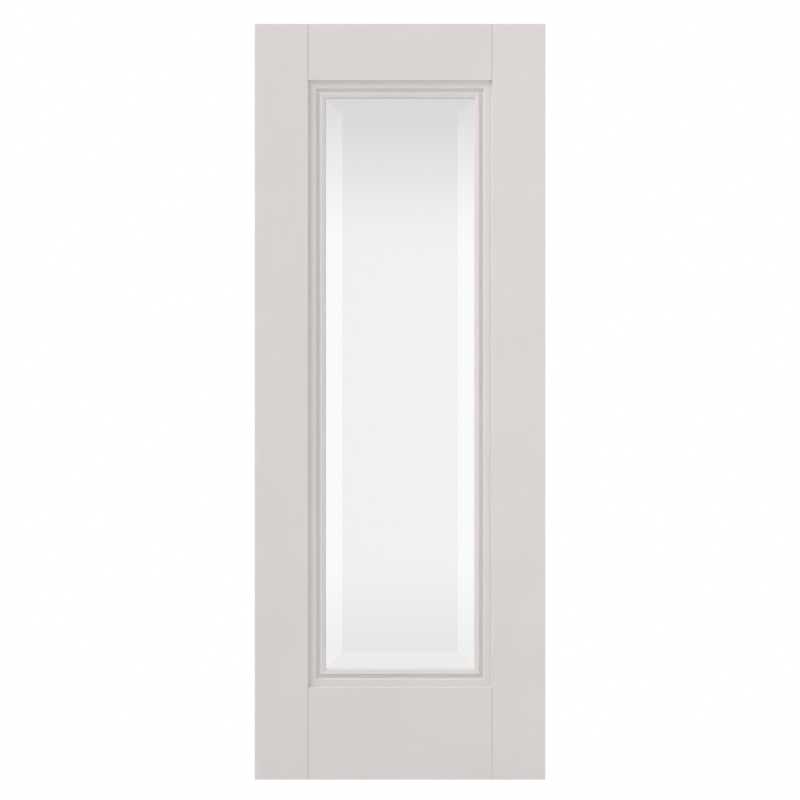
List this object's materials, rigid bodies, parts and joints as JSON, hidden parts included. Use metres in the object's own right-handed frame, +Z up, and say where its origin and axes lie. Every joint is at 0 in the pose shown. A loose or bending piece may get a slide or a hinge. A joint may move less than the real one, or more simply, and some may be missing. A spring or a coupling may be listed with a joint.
{
  "type": "glazed interior door leaf",
  "caption": "Primed interior door leaf with stiles and rails round one tall bevelled clear glass pane, held by mitred mouldings and beads.",
  "frame": {"origin": "bottom of the hanging edge, on the edge face, at the middle of the leaf's thickness", "axes": "+X across the leaf from the hanging edge to the latch edge, -Y out of the front face, +Z up"},
  "size_m": [0.762, 0.035, 1.981],
  "materials": {
    "primed_facing": "smooth primer, satin",
    "primed_moulding": "smooth primer, satin",
    "primed_bead": "smooth primer, satin",
    "core_timber": "thin primer over sawn timber",
    "edge_lipping": "planed and primed",
    "clear_glass": "clear, polished, bevelled",
    "glazing_tape": "closed-cell foam"
  },
  "bodies": {
    "root": {"back_bottom_bead": "primed_bead", "back_glazing_tape": "glazing_tape", "back_left_bead": "primed_bead", "back_right_bead": "primed_bead", "back_top_bead": "primed_bead", "bottom_panel_moulding": "primed_moulding", "bottom_rail_back_facing": "primed_facing", "bottom_rail_core": "core_timber", "bottom_rail_front_facing": "primed_facing", "front_bottom_bead": "primed_bead", "front_glazing_tape": "glazing_tape", "front_left_bead": "primed_bead", "front_right_bead": "primed_bead", "front_top_bead": "primed_bead", "glass_pane": "clear_glass", "left_panel_moulding": "primed_moulding", "left_stile_back_facing": "primed_facing", "left_stile_core": "core_timber", "left_stile_front_facing": "primed_facing", "left_stile_lipping": "edge_lipping", "right_panel_moulding": "primed_moulding", "right_stile_back_facing": "primed_facing", "right_stile_core": "core_timber", "right_stile_front_facing": "primed_facing", "right_stile_lipping": "edge_lipping", "top_panel_moulding": "primed_moulding", "top_rail_back_facing": "primed_facing", "top_rail_core": "core_timber", "top_rail_front_facing": "primed_facing"}
  },
  "joints": []
}
